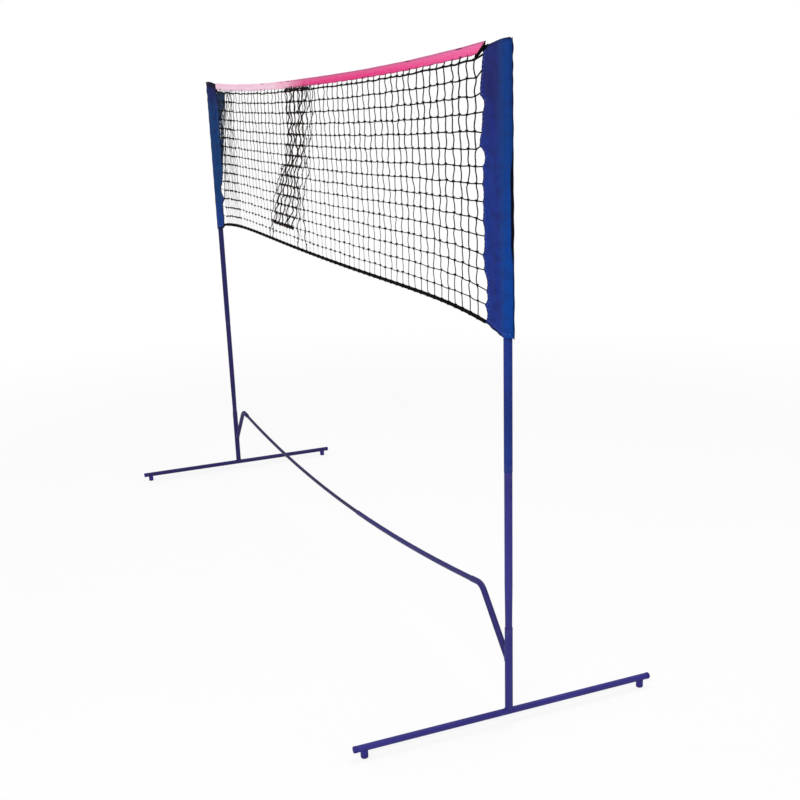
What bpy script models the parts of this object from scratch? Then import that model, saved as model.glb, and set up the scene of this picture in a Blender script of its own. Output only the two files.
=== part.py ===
"""Free-standing mini badminton net, in metres, +Z up, standing on z = 0.

X runs along the net: the left end is at -X and the right end at +X. The base
bars run along Y. Each end is a base bar on two feet with an upright socket,
an elbow that carries the crossbar, a lower post and an upper post. The net
hangs on the two upper posts by a cloth sleeve at each end.
"""

import math

import bmesh
import bpy
from mathutils import Vector

# Whole set
POST_SPACING = 2.40
TOTAL_HEIGHT = 1.55
TUBE_WALL = 0.0008
SEAT_GAP = 0.0003

# Base bars, their caps and feet
BAR_LENGTH = 0.81
BAR_DIAMETER = 0.0162
BAR_AXIS_HEIGHT = 0.026
CAP_HEAD_LENGTH = 0.008
CAP_LIP = 0.0004
CAP_PLUG_LENGTH = 0.009
CAP_ROUNDING = 0.003
FOOT_DIAMETER = 0.0180
FOOT_INSET = 0.027
FOOT_ROUNDING = 0.0030
FOOT_ROUNDING_STEPS = 3
FOOT_STEM_DIAMETER = 0.0070
FOOT_STEM_RISE = 0.0050
FOOT_SADDLE_RISE = 0.0042

# Upright socket on each bar, with the stop ring that carries the lower post
SOCKET_TOP = 0.2465
SOCKET_DEPTH = 0.063
SOCKET_MOUTH_RISE = 0.0042
STOP_RING_HEIGHT = 0.006
STOP_RING_WIDTH = 0.0016
MOUTH_CHAMFER = 0.0003

# Lower and upper posts
LOWER_POST_DIAMETER = 0.0190
UPPER_POST_DIAMETER = 0.0200
NECK_DIAMETER = 0.0170
NECK_RISE = 0.022
NECK_TAPER_LENGTH = 0.088
JOINT_HEIGHT = 0.6315
SPIGOT_LENGTH = 0.070
SPIGOT_TAPER_LENGTH = 0.009
SPIGOT_CHAMFER = 0.0005
POST_CAP_HEAD = 0.005
POST_CAP_PLUG = 0.018

# Elbows and crossbar: each elbow leaves its socket at the root height and rises to the bend
LEFT_ROOT_HEIGHT = 0.1245
RIGHT_ROOT_HEIGHT = 0.1565
BRANCH_RISE = 0.152
BEND_INSET = 0.138
BEND_RADIUS = 0.040
CROSSBAR_SAG = 0.0655
ELBOW_DIAMETER = 0.0155
ELBOW_REACH = 0.055
BEND_RUN_OUT = 0.020
RIGHT_TUBE_DIAMETER = 0.0138
THIN_TUBE_DIAMETER = 0.0112
RIGHT_TUBE_END = 0.220
LEFT_TUBE_END = -0.395
PLUG_LENGTH = 0.028
PLUG_TAPER_LENGTH = 0.010
PATH_STEP = 0.100

# Sleeves: the width runs from the post's axis to the seam with the netting; the binding's edges
# are in degrees from the outermost line, on the right sleeve towards the back
SLEEVE_WIDTH = 0.108
LEFT_SLEEVE_LENGTH = 0.541
RIGHT_SLEEVE_LENGTH = 0.6215
CLOTH = 0.0010
SEAM_THICKNESS = 0.0030
SEAM_WIDTH = 0.014
SLEEVE_TOP_DROP = 0.0145
SLEEVE_TOP_POWER = 2.9
LEFT_HEM_RISE = 0.020
RIGHT_HEM_RISE = 0.0345
HEM_POWER = 1.4
SLEEVE_FLARE = 0.010
SCALLOP_DEPTH = 0.007
BINDING_START = 12
BINDING_STOP = 72
BINDING_THICKNESS = 0.0010

# Tape, cords and netting
TAPE_WIDTH = 0.021
TAPE_DROP = 0.004
TAPE_SAG = 0.019
TAPE_FOLD_THICKNESS = 0.0048
TAPE_FOLD_DEPTH = 0.0058
TAPE_EDGE_THICKNESS = 0.0024
HEAD_CORD_DIAMETER = 0.0022
BOTTOM_CORD_DIAMETER = 0.0092
BOTTOM_CORD_ARCH = 0.0242
BOTTOM_CORD_POWER = 6
BOTTOM_CORD_SAG = 0.0177
TWINE = 0.0024
NET_COLUMNS = 33
NET_ROWS = 9

# Facets
ROUND_SIDES = 24
SMALL_SIDES = 16
CROSSBAR_SIDES = 12
BEND_STEPS = 7
CORD_STEPS = 32
TAPE_STEPS = 16
SLEEVE_ARC_STEPS = 4
SLEEVE_FLANK_SHARES = (0.12, 0.4, 0.7)
SCALLOP_STEPS = 3
BINDING_STEPS = 4

# Sizes that follow from the ones above
SIDES = {"left": -1, "right": 1}
SLEEVE_BOTTOM = {"left": TOTAL_HEIGHT - LEFT_SLEEVE_LENGTH, "right": TOTAL_HEIGHT - RIGHT_SLEEVE_LENGTH}
HEM_RISE = {"left": LEFT_HEM_RISE, "right": RIGHT_HEM_RISE}
ROOT_HEIGHT = {"left": LEFT_ROOT_HEIGHT, "right": RIGHT_ROOT_HEIGHT}
POST_X = POST_SPACING / 2
BAR_RADIUS = BAR_DIAMETER / 2
BAR_HOLLOW = BAR_RADIUS - TUBE_WALL
BAR_HALF = BAR_LENGTH / 2 - CAP_HEAD_LENGTH - SEAT_GAP
SOCKET_HOLLOW = NECK_DIAMETER / 2 + SEAT_GAP
SOCKET_RADIUS = SOCKET_HOLLOW + TUBE_WALL
STOP_TOP = SOCKET_TOP - SOCKET_DEPTH
UPPER_HOLLOW = UPPER_POST_DIAMETER / 2 - TUBE_WALL
SLEEVE_CEILING = TOTAL_HEIGHT - CLOTH
POST_CAP_TOP = SLEEVE_CEILING - SEAT_GAP
UPPER_POST_TOP = POST_CAP_TOP - POST_CAP_HEAD - SEAT_GAP
BEND_X = POST_X - BEND_INSET
SEAM_X = POST_X - SLEEVE_WIDTH
NET_HALF = SEAM_X - SEAT_GAP
TAPE_TOP_END = TOTAL_HEIGHT - TAPE_DROP


def clear_scene():
    for old in list(bpy.data.objects):
        bpy.data.objects.remove(old, do_unlink=True)


def make_material(name, colour, roughness, metallic=0.0):
    material = bpy.data.materials.new(name)
    material.use_nodes = True
    shader = material.node_tree.nodes["Principled BSDF"]
    shader.inputs["Base Color"].default_value = (*colour, 1.0)
    shader.inputs["Roughness"].default_value = roughness
    shader.inputs["Metallic"].default_value = metallic
    material.diffuse_color = (*colour, 1.0)
    return material


def object_from(mesh_in_progress, name, material, smooth=True):
    bmesh.ops.recalc_face_normals(mesh_in_progress, faces=mesh_in_progress.faces[:])
    mesh = bpy.data.meshes.new(name)
    mesh_in_progress.to_mesh(mesh)
    mesh_in_progress.free()
    if smooth:
        mesh.shade_smooth()
        mesh.set_sharp_from_angle(angle=math.radians(40))
    made = bpy.data.objects.new(name, mesh)
    if material:
        mesh.materials.append(material)
    bpy.context.collection.objects.link(made)
    return made


def turned(name, material, profile, sides, closed_loop=True):
    """Spin a (radius, height) profile about Z; a loop makes a tube, an open one a solid."""
    bm = bmesh.new()
    verts = [bm.verts.new((radius, 0.0, height)) for radius, height in profile]
    edges = [bm.edges.new(pair) for pair in zip(verts, verts[1:])]
    if closed_loop:
        edges.append(bm.edges.new((verts[-1], verts[0])))
    bmesh.ops.spin(bm, geom=verts + edges, cent=(0, 0, 0), axis=(0, 0, 1),
                   angle=math.tau, steps=sides, use_merge=True)
    bmesh.ops.remove_doubles(bm, verts=bm.verts[:], dist=1e-6)
    return object_from(bm, name, material)


def swept_tube(name, material, stations, sides):
    """Sweep a ring in the XZ plane; a station is (point, direction, outer and inner radius)."""
    bm = bmesh.new()

    def ring(station, radius):
        point, direction, _, _ = station
        upward = Vector((-direction.z, 0.0, direction.x))
        corners = []
        for step in range(sides):
            turn = math.tau * step / sides
            offset = upward * math.cos(turn) + Vector((0.0, 1.0, 0.0)) * math.sin(turn)
            corners.append(bm.verts.new(point + offset * radius))
        return corners

    outside = [ring(station, station[2]) for station in stations]
    inside = [ring(station, station[3]) for station in stations]
    loops = outside + inside[::-1]
    for first, second in zip(loops, loops[1:] + loops[:1]):
        for step in range(sides):
            after = (step + 1) % sides
            bm.faces.new((first[step], first[after], second[after], second[step]))
    bmesh.ops.remove_doubles(bm, verts=bm.verts[:], dist=1e-6)
    return object_from(bm, name, material)


def hide_cutter(cutter):
    cutter.hide_render = True
    cutter.display_type = "WIRE"
    return cutter


def boolean(target, other, operation):
    cut = target.modifiers.new(operation.lower(), "BOOLEAN")
    cut.operation = operation
    cut.solver = "EXACT"
    cut.object = other


def solid_rod(name, material, radius, low, high, sides):
    return turned(name, material, [(0.0, high), (radius, high), (radius, low), (0.0, low)], sides, False)


def make_base_bar(side, sign, materials):
    """The floor tube, its end caps and its feet, with the feet's holes in its underside."""
    hollow_loop = [(BAR_RADIUS, BAR_HALF), (BAR_RADIUS, -BAR_HALF),
                   (BAR_HOLLOW, -BAR_HALF), (BAR_HOLLOW, BAR_HALF)]
    bar = turned(f"{side}_base_bar", materials["frame"], hollow_loop, ROUND_SIDES)
    bar.rotation_euler = (math.radians(90), 0, 0)
    bar.location = (sign * POST_X, 0, BAR_AXIS_HEIGHT)

    saddle = solid_rod(f"{side}_bar_clearance", None, BAR_RADIUS + SEAT_GAP, -BAR_HALF, BAR_HALF, ROUND_SIDES)
    saddle.rotation_euler = bar.rotation_euler
    saddle.location = bar.location
    hide_cutter(saddle)

    plug = BAR_HOLLOW - SEAT_GAP
    head = BAR_RADIUS + CAP_LIP
    tip = SEAT_GAP + CAP_HEAD_LENGTH
    cap_profile = [(0.0, tip), (head - CAP_ROUNDING, tip)]
    for step in range(1, 4):
        turn = math.radians(30 * step)
        cap_profile.append((head - CAP_ROUNDING * (1 - math.sin(turn)),
                            tip - CAP_ROUNDING * (1 - math.cos(turn))))
    cap_profile += [(head, SEAT_GAP), (plug, SEAT_GAP), (plug, -CAP_PLUG_LENGTH), (0.0, -CAP_PLUG_LENGTH)]

    for end, way in (("front", -1), ("back", 1)):
        cap = turned(f"{side}_bar_cap_{end}", materials["plastic"], cap_profile, SMALL_SIDES, False)
        cap.rotation_euler = (math.radians(-90 * way), 0, 0)
        cap.location = (sign * POST_X, way * BAR_HALF, BAR_AXIS_HEIGHT)

        foot_y = way * (BAR_LENGTH / 2 - FOOT_INSET)
        foot_radius = FOOT_DIAMETER / 2
        shoulder = BAR_AXIS_HEIGHT - FOOT_SADDLE_RISE
        foot_profile = [(0.0, shoulder), (foot_radius, shoulder)]
        for step in range(FOOT_ROUNDING_STEPS + 1):
            turn = math.pi / 2 * step / FOOT_ROUNDING_STEPS
            foot_profile.append((foot_radius - FOOT_ROUNDING * (1 - math.cos(turn)),
                                 FOOT_ROUNDING * (1 - math.sin(turn))))
        foot_profile.append((0.0, 0.0))
        foot = turned(f"{side}_foot_{end}", materials["plastic"], foot_profile, SMALL_SIDES, False)
        foot.location = (sign * POST_X, foot_y, 0)
        stem_low = (BAR_AXIS_HEIGHT - BAR_RADIUS) / 2
        stem_high = BAR_AXIS_HEIGHT - BAR_HOLLOW + FOOT_STEM_RISE
        stem = solid_rod(f"{side}_foot_stem_{end}", None, FOOT_STEM_DIAMETER / 2,
                         stem_low, stem_high, SMALL_SIDES)
        stem.location = foot.location
        stem.rotation_euler = (0, 0, math.pi / SMALL_SIDES)
        hide_cutter(stem)
        boolean(foot, saddle, "DIFFERENCE")
        boolean(foot, stem, "UNION")

        hole = solid_rod(f"{side}_foot_hole_{end}", None, FOOT_STEM_DIAMETER / 2 + SEAT_GAP,
                         stem_low, BAR_AXIS_HEIGHT, SMALL_SIDES)
        hole.location = foot.location
        hole.rotation_euler = (0, 0, math.pi / SMALL_SIDES)
        hide_cutter(hole)
        boolean(bar, hole, "DIFFERENCE")
    return saddle


def make_socket(side, sign, saddle, materials):
    """The upright tube on the bar: fish-mouthed over it, with the stop ring inside."""
    low = BAR_AXIS_HEIGHT + SOCKET_MOUTH_RISE
    ring_low = STOP_TOP - STOP_RING_HEIGHT
    ring_radius = SOCKET_HOLLOW - STOP_RING_WIDTH
    loop = [(SOCKET_RADIUS, SOCKET_TOP), (SOCKET_RADIUS, low), (SOCKET_HOLLOW, low),
            (SOCKET_HOLLOW, ring_low), (ring_radius, ring_low), (ring_radius, STOP_TOP),
            (SOCKET_HOLLOW, STOP_TOP), (SOCKET_HOLLOW, SOCKET_TOP - MOUTH_CHAMFER),
            (SOCKET_HOLLOW + MOUTH_CHAMFER, SOCKET_TOP)]
    socket = turned(f"{side}_upright_socket", materials["frame"], loop, ROUND_SIDES)
    socket.location = (sign * POST_X, 0, 0)
    boolean(socket, saddle, "DIFFERENCE")

    clearance = solid_rod(f"{side}_socket_clearance", None, SOCKET_RADIUS + SEAT_GAP,
                          0.0, SOCKET_TOP, ROUND_SIDES)
    clearance.location = socket.location
    return hide_cutter(clearance)


def crossbar_height(x):
    """The crossbar hangs in a shallow curve from the one bend to the other."""
    share = x / BEND_X
    chord = BRANCH_RISE + (LEFT_ROOT_HEIGHT + RIGHT_ROOT_HEIGHT) / 2
    tilt = (RIGHT_ROOT_HEIGHT - LEFT_ROOT_HEIGHT) / 2
    return chord + tilt * share - CROSSBAR_SAG * (1 - share ** 2)


def crossbar_station(x, way, outer, inner):
    """A ring on the crossbar's line, facing along X in the given way (1 or -1)."""
    slope = (RIGHT_ROOT_HEIGHT - LEFT_ROOT_HEIGHT) / (2 * BEND_X) + 2 * CROSSBAR_SAG * x / BEND_X ** 2
    direction = Vector((way, 0.0, way * slope)).normalized()
    return (Vector((x, 0.0, crossbar_height(x))), direction, outer, inner)


def crossbar_run(start, stop, outer, inner):
    steps = max(1, round(abs(start - stop) / PATH_STEP))
    way = 1 if stop > start else -1
    return [crossbar_station(start + (stop - start) * step / steps, way, outer, inner)
            for step in range(steps + 1)]


def make_elbow(side, sign, clearance, materials):
    """The bent tube from the socket's side up to the crossbar's line."""
    outer = ELBOW_DIAMETER / 2
    inner = outer - TUBE_WALL
    root = Vector((sign * POST_X, 0.0, ROOT_HEIGHT[side]))
    corner = Vector((sign * BEND_X, 0.0, ROOT_HEIGHT[side] + BRANCH_RISE))
    leg = (corner - root).normalized()
    onward = crossbar_station(sign * BEND_X, -sign, outer, inner)[1]
    turn = leg.angle(onward)
    reach = BEND_RADIUS * math.tan(turn / 2)
    centre_way = (onward - leg).normalized()
    centre = corner + centre_way * (BEND_RADIUS / math.cos(turn / 2))

    stations = [(root, leg, outer, inner)]
    for step in range(BEND_STEPS + 1):
        share = step / BEND_STEPS
        angle = turn * share
        direction = (leg * math.sin(turn - angle) + onward * math.sin(angle)).normalized()
        outward = (-centre_way * math.cos(turn / 2 - angle)
                   + (leg + onward).normalized() * math.sin(angle - turn / 2))
        stations.append((centre + outward * BEND_RADIUS, direction, outer, inner))
    run_start = BEND_X - reach * abs(onward.x) - BEND_RUN_OUT
    stations += crossbar_run(sign * run_start, sign * (BEND_X - ELBOW_REACH), outer, inner)
    elbow = swept_tube(f"{side}_elbow", materials["frame"], stations, CROSSBAR_SIDES)
    boolean(elbow, clearance, "DIFFERENCE")


def plug_stations(sign, socket_end, outer, hollow):
    """A tube's end in a wider tube, from its tip to the rim: drawn in with a shoulder, or swelled."""
    plug_outer = hollow - SEAT_GAP
    plug_inner = plug_outer - TUBE_WALL
    rim = socket_end - SEAT_GAP
    tip = socket_end + PLUG_LENGTH
    middle = (rim + tip) / 2
    sections = [(tip, plug_outer, plug_inner), (middle, plug_outer, plug_inner)]
    if plug_outer > outer:
        sections.append((rim, outer, outer - TUBE_WALL))
    else:
        sections += [(rim, plug_outer, plug_inner), (rim, outer, plug_inner)]
    return [crossbar_station(sign * x, -sign, radius, inner) for x, radius, inner in sections]


def make_crossbar(materials):
    """The two outer tubes plugged into the elbows, and the middle tube plugged into both of them."""
    elbow_end = BEND_X - ELBOW_REACH
    elbow_hollow = ELBOW_DIAMETER / 2 - TUBE_WALL
    thin = THIN_TUBE_DIAMETER / 2
    radius = {"left": thin, "right": RIGHT_TUBE_DIAMETER / 2}
    open_end = {"left": LEFT_TUBE_END, "right": RIGHT_TUBE_END}
    set_back = SEAT_GAP + PLUG_TAPER_LENGTH

    for side, sign in SIDES.items():
        plug = plug_stations(sign, elbow_end, radius[side], elbow_hollow)
        body = crossbar_run(sign * (elbow_end - set_back), open_end[side], radius[side], radius[side] - TUBE_WALL)
        swept_tube(f"{side}_crossbar_tube", materials["frame"], plug + body, CROSSBAR_SIDES)

    plug = plug_stations(1, RIGHT_TUBE_END, thin, radius["right"] - TUBE_WALL)
    body = crossbar_run(RIGHT_TUBE_END - set_back, LEFT_TUBE_END + set_back, thin, thin - TUBE_WALL)
    far_plug = []
    for point, _, outer, inner in reversed(plug_stations(-1, -LEFT_TUBE_END, thin, thin - TUBE_WALL)):
        far_plug.append(crossbar_station(point.x, -1, outer, inner))
    swept_tube("crossbar_middle_tube", materials["frame"], plug + body + far_plug, CROSSBAR_SIDES)


def make_posts(side, sign, materials):
    """The lower post with both of its drawn-in ends, the upper post and its cap."""
    lower = LOWER_POST_DIAMETER / 2
    neck = NECK_DIAMETER / 2
    neck_low = STOP_TOP + SEAT_GAP
    neck_high = SOCKET_TOP + NECK_RISE
    taper_high = neck_high + NECK_TAPER_LENGTH
    spigot = UPPER_HOLLOW - SEAT_GAP
    spigot_top = JOINT_HEIGHT + SPIGOT_LENGTH
    loop = [(spigot - SPIGOT_CHAMFER, spigot_top), (spigot, spigot_top - SPIGOT_CHAMFER),
            (spigot, JOINT_HEIGHT), (lower, JOINT_HEIGHT), (lower, taper_high), (neck, neck_high),
            (neck, neck_low), (neck - TUBE_WALL, neck_low), (neck - TUBE_WALL, neck_high),
            (lower - TUBE_WALL, taper_high), (lower - TUBE_WALL, JOINT_HEIGHT - SPIGOT_TAPER_LENGTH),
            (spigot - TUBE_WALL, JOINT_HEIGHT), (spigot - TUBE_WALL, spigot_top)]
    lower_post = turned(f"{side}_lower_post", materials["frame"], loop, ROUND_SIDES)
    lower_post.location = (sign * POST_X, 0, 0)

    outer = UPPER_POST_DIAMETER / 2
    loop = [(outer, UPPER_POST_TOP), (outer, JOINT_HEIGHT + SEAT_GAP),
            (UPPER_HOLLOW, JOINT_HEIGHT + SEAT_GAP), (UPPER_HOLLOW, UPPER_POST_TOP)]
    upper_post = turned(f"{side}_upper_post", materials["post"], loop, ROUND_SIDES)
    upper_post.location = lower_post.location

    plug = UPPER_HOLLOW - SEAT_GAP
    rounding = POST_CAP_HEAD / 2
    profile = [(0.0, POST_CAP_TOP), (outer - rounding, POST_CAP_TOP), (outer, POST_CAP_TOP - rounding),
               (outer, UPPER_POST_TOP + SEAT_GAP), (plug, UPPER_POST_TOP + SEAT_GAP),
               (plug, UPPER_POST_TOP - POST_CAP_PLUG), (0.0, UPPER_POST_TOP - POST_CAP_PLUG)]
    cap = turned(f"{side}_post_cap", materials["plastic"], profile, ROUND_SIDES, False)
    cap.location = lower_post.location


def sleeve_top(inward):
    share = max(0.0, inward) / SLEEVE_WIDTH
    return TOTAL_HEIGHT - SLEEVE_TOP_DROP * share ** SLEEVE_TOP_POWER


def sleeve_bottom(side, inward):
    return SLEEVE_BOTTOM[side] + HEM_RISE[side] * (max(0.0, inward) / SLEEVE_WIDTH) ** HEM_POWER


def sleeve_half_outline(radius, flare, seam, half_seam):
    """Half of the pocket's section as (inward distance, y), from its outer edge to the seam."""
    points = []
    for step in range(SLEEVE_ARC_STEPS + 1):
        turn = math.pi / 2 * step / SLEEVE_ARC_STEPS
        points.append((-(radius + flare) * math.cos(turn), radius * math.sin(turn)))
    flat_start = seam - SEAM_WIDTH
    for share in SLEEVE_FLANK_SHARES:
        points.append((flat_start * share, radius + (half_seam - radius) * share))
    return points + [(flat_start, half_seam), (seam, half_seam)]


def make_sleeve(side, sign, materials):
    """The cloth pocket: closed over the post's top, scalloped where the netting draws it in."""
    bm = bmesh.new()
    outer_radius = UPPER_POST_DIAMETER / 2 + SEAT_GAP + CLOTH

    def ring(share, thickness, scallop):
        """Both halves of one section, each from the outer edge to the seam."""
        seam = SLEEVE_WIDTH - (SEAM_WIDTH if thickness else 0.0)
        outline = sleeve_half_outline(outer_radius - thickness, SLEEVE_FLARE * (1 - share),
                                      seam, SEAM_THICKNESS / 2 - thickness)
        halves = ([], [])
        for column, (inward, y) in enumerate(outline):
            low = sleeve_bottom(side, inward)
            height = low + (sleeve_top(inward) - thickness - low) * share
            if column == len(outline) - 1:
                inward -= SCALLOP_DEPTH * scallop
            x = sign * (POST_X - inward)
            halves[0].append(bm.verts.new((x, y, height)))
            halves[1].append(bm.verts.new((x, -y, height)) if column else halves[0][0])
        return halves

    def wall(first, second):
        for near, far in zip(first, second):
            for column in range(len(near) - 1):
                bm.faces.new((near[column], near[column + 1], far[column + 1], far[column]))

    def seam_wall(first, second):
        bm.faces.new((first[0][-1], first[1][-1], second[1][-1], second[0][-1]))

    def lid(halves):
        front, back = halves
        bm.faces.new((front[0], front[1], back[1]))
        for column in range(1, len(front) - 1):
            bm.faces.new((front[column], front[column + 1], back[column + 1], back[column]))

    steps = NET_ROWS * SCALLOP_STEPS
    outside = []
    for step in range(steps + 1):
        share = step / steps
        outside.append(ring(share, 0.0, abs(math.sin(math.pi * NET_ROWS * share))))
    inside = [ring(1.0, CLOTH, 0.0), ring(0.0, CLOTH, 0.0)]
    joined = list(zip(outside, outside[1:])) + [(inside[0], inside[1]), (inside[1], outside[0])]
    for first, second in joined:
        wall(first, second)
        seam_wall(first, second)
    lid(outside[-1])
    lid(inside[0])
    object_from(bm, f"{side}_sleeve", materials["sleeve"])


def make_binding(side, sign, materials):
    """The black tape sewn down the sleeve's outer edge; the left sleeve is turned end for end."""
    bm = bmesh.new()
    inner_reach = UPPER_POST_DIAMETER / 2 + SEAT_GAP + CLOTH + SEAT_GAP
    rings = []
    for share in (0.0, 1.0):
        flare = SLEEVE_FLARE * (1 - share)
        low = SLEEVE_BOTTOM[side]
        height = low + (TOTAL_HEIGHT - low) * share
        layers = []
        for reach in (inner_reach, inner_reach + BINDING_THICKNESS):
            layer = []
            for step in range(BINDING_STEPS + 1):
                turn = math.radians(BINDING_START + (BINDING_STOP - BINDING_START) * step / BINDING_STEPS)
                x = sign * (POST_X + (reach + flare) * math.cos(turn))
                layer.append(bm.verts.new((x, sign * reach * math.sin(turn), height)))
            layers.append(layer)
        rings.append(layers[0] + layers[1][::-1])
    count = len(rings[0])
    for column in range(count):
        after = (column + 1) % count
        bm.faces.new((rings[0][column], rings[0][after], rings[1][after], rings[1][column]))
    for ring in rings:
        for step in range(BINDING_STEPS):
            bm.faces.new((ring[step], ring[step + 1], ring[count - 2 - step], ring[count - 1 - step]))
    object_from(bm, f"{side}_sleeve_binding", materials["cord"])


def tape_top(x):
    return TAPE_TOP_END - TAPE_SAG * (1 - (x / NET_HALF) ** 2)


def head_cord_height(x):
    return tape_top(x) - TAPE_FOLD_THICKNESS / 2


def bottom_cord_height(x):
    """The bottom cord's centre: it rises from each sleeve's hem and sags again between them."""
    ends = {sign: sleeve_bottom(side, SLEEVE_WIDTH) for side, sign in SIDES.items()}
    share = x / NET_HALF
    chord = ends[-1] + (ends[1] - ends[-1]) * (share + 1) / 2
    arch = BOTTOM_CORD_ARCH * (1 - abs(share) ** BOTTOM_CORD_POWER)
    return chord + arch - BOTTOM_CORD_SAG * (1 - share ** 2)


def make_tape(materials):
    """The folded webbing: thick at the fold round the head cord, thin at the sewn edge."""
    bm = bmesh.new()
    fold = TAPE_FOLD_THICKNESS / 2
    edge = TAPE_EDGE_THICKNESS / 2
    bore = HEAD_CORD_DIAMETER / 2 + SEAT_GAP
    shoulder = fold * math.sin(math.radians(45))
    outer = [(0.0, 0.0), (-shoulder, shoulder - fold), (-fold, -fold), (-edge, -TAPE_FOLD_DEPTH),
             (-edge, -TAPE_WIDTH), (edge, -TAPE_WIDTH), (edge, -TAPE_FOLD_DEPTH), (fold, -fold),
             (shoulder, shoulder - fold)]
    inner = []
    for step in range(len(outer)):
        turn = math.tau * step / len(outer)
        inner.append((-bore * math.sin(turn), -fold + bore * math.cos(turn)))

    def rings_at(x):
        top = tape_top(x)
        return [[bm.verts.new((x, y, top + drop)) for y, drop in outline] for outline in (outer, inner)]

    stations = [rings_at(NET_HALF * (2 * step / TAPE_STEPS - 1)) for step in range(TAPE_STEPS + 1)]
    count = len(outer)
    for near, far in zip(stations, stations[1:]):
        for start, stop in zip(near, far):
            for column in range(count):
                after = (column + 1) % count
                bm.faces.new((start[column], start[after], stop[after], stop[column]))
    for outside, inside in (stations[0], stations[-1]):
        for column in range(count):
            after = (column + 1) % count
            bm.faces.new((outside[column], outside[after], inside[after], inside[column]))
    object_from(bm, "top_tape", materials["tape"], smooth=False)


def make_cord(name, material, diameter, height_at, steps):
    """A round cord held from sleeve to sleeve."""
    curve = bpy.data.curves.new(name, "CURVE")
    curve.dimensions = "3D"
    curve.bevel_depth = diameter / 2
    curve.bevel_resolution = 2
    curve.use_fill_caps = True
    spline = curve.splines.new("POLY")
    spline.points.add(steps)
    for step, point in enumerate(spline.points):
        x = NET_HALF * (2 * step / steps - 1)
        point.co = (x, 0.0, height_at(x), 1.0)
    curve.materials.append(material)
    bpy.context.collection.objects.link(bpy.data.objects.new(name, curve))


def make_netting(materials):
    """The square mesh, hung between the tape's edge and the bottom cord."""
    bm = bmesh.new()
    half = TWINE / 2

    def strand_edges(low, high, gaps):
        """Both edges of each strand, from low to high with that many gaps between."""
        edges = []
        for strand in range(gaps + 1):
            middle = low + half + (high - low - TWINE) * strand / gaps
            edges += [middle - half, middle + half]
        return edges

    grid = []
    for x in strand_edges(-NET_HALF, NET_HALF, NET_COLUMNS):
        low = bottom_cord_height(x) + BOTTOM_CORD_DIAMETER / 2 + SEAT_GAP
        high = tape_top(x) - TAPE_WIDTH - SEAT_GAP
        grid.append([bm.verts.new((x, 0.0, z)) for z in strand_edges(low, high, NET_ROWS)])
    for column, (left, right) in enumerate(zip(grid, grid[1:])):
        for row in range(len(left) - 1):
            gap = column % 2 == 1 and row % 2 == 1
            if not gap:
                bm.faces.new((left[row], right[row], right[row + 1], left[row + 1]))
    netting = object_from(bm, "netting", materials["twine"], smooth=False)
    thicken = netting.modifiers.new("twine_depth", "SOLIDIFY")
    thicken.thickness = TWINE
    thicken.offset = 0.0


def main():
    clear_scene()
    materials = {
        "frame": make_material("violet_powder_coat", (0.055, 0.046, 0.26), 0.38),
        "post": make_material("navy_powder_coat", (0.020, 0.035, 0.22), 0.36),
        "plastic": make_material("violet_plastic", (0.050, 0.042, 0.22), 0.50),
        "sleeve": make_material("royal_blue_cloth", (0.022, 0.040, 0.32), 0.75),
        "tape": make_material("pink_webbing", (0.84, 0.06, 0.27), 0.60),
        "twine": make_material("black_twine", (0.012, 0.012, 0.013), 0.80),
        "cord": make_material("black_cord", (0.008, 0.008, 0.009), 0.70),
    }
    for side, sign in SIDES.items():
        saddle = make_base_bar(side, sign, materials)
        clearance = make_socket(side, sign, saddle, materials)
        make_elbow(side, sign, clearance, materials)
        make_posts(side, sign, materials)
        make_sleeve(side, sign, materials)
        make_binding(side, sign, materials)
    make_crossbar(materials)
    make_tape(materials)
    make_cord("head_cord", materials["cord"], HEAD_CORD_DIAMETER,
              head_cord_height, TAPE_STEPS)
    make_cord("bottom_cord", materials["cord"], BOTTOM_CORD_DIAMETER, bottom_cord_height, CORD_STEPS)
    make_netting(materials)


main()
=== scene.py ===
"""Dressed model of a free-standing mini badminton net, in metres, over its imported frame.

X runs along the net, with the left end at -X and the right end at +X. The base
bars run along Y, and the floor is z = 0. The front of the net faces -Y.
"""

import math
import random

import bpy
from mathutils import Matrix, Vector


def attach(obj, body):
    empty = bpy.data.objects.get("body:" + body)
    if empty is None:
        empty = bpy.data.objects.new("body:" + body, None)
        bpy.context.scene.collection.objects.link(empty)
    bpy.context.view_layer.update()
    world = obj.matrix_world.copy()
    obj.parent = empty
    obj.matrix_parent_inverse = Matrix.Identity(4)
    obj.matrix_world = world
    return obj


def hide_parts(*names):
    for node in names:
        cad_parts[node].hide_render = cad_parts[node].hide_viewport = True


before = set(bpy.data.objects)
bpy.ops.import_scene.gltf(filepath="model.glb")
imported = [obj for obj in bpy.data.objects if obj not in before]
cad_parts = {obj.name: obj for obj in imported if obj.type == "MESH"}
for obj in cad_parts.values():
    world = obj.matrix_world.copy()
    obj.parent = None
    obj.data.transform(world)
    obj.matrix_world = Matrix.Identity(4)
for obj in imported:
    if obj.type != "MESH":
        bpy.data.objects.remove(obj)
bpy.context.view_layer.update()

# Sizes that the part's source also has
POST_X = 1.20
TOTAL_HEIGHT = 1.55
BAR_RADIUS = 0.0081
BAR_AXIS_HEIGHT = 0.026
SOCKET_RADIUS = 0.0096
SOCKET_FOOT = 0.0302
SOCKET_TOP = 0.2465
ELBOW_RADIUS = 0.00775
ROOT_HEIGHT = {"left": 0.1245, "right": 0.1565}
BRANCH_RISE = 0.152
BEND_INSET = 0.138
JOINT_HEIGHT = 0.6315
SLEEVE_WIDTH = 0.108
SLEEVE_RADIUS = 0.0113
SEAM_WIDTH = 0.014
SEAM_HALF = 0.0015
CLOTH = 0.001
NET_HALF = 1.0917
TAPE_EDGE_HALF = 0.0012
FOLD_RADIUS = 0.0024
HEAD_CORD_RADIUS = 0.0011
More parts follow.
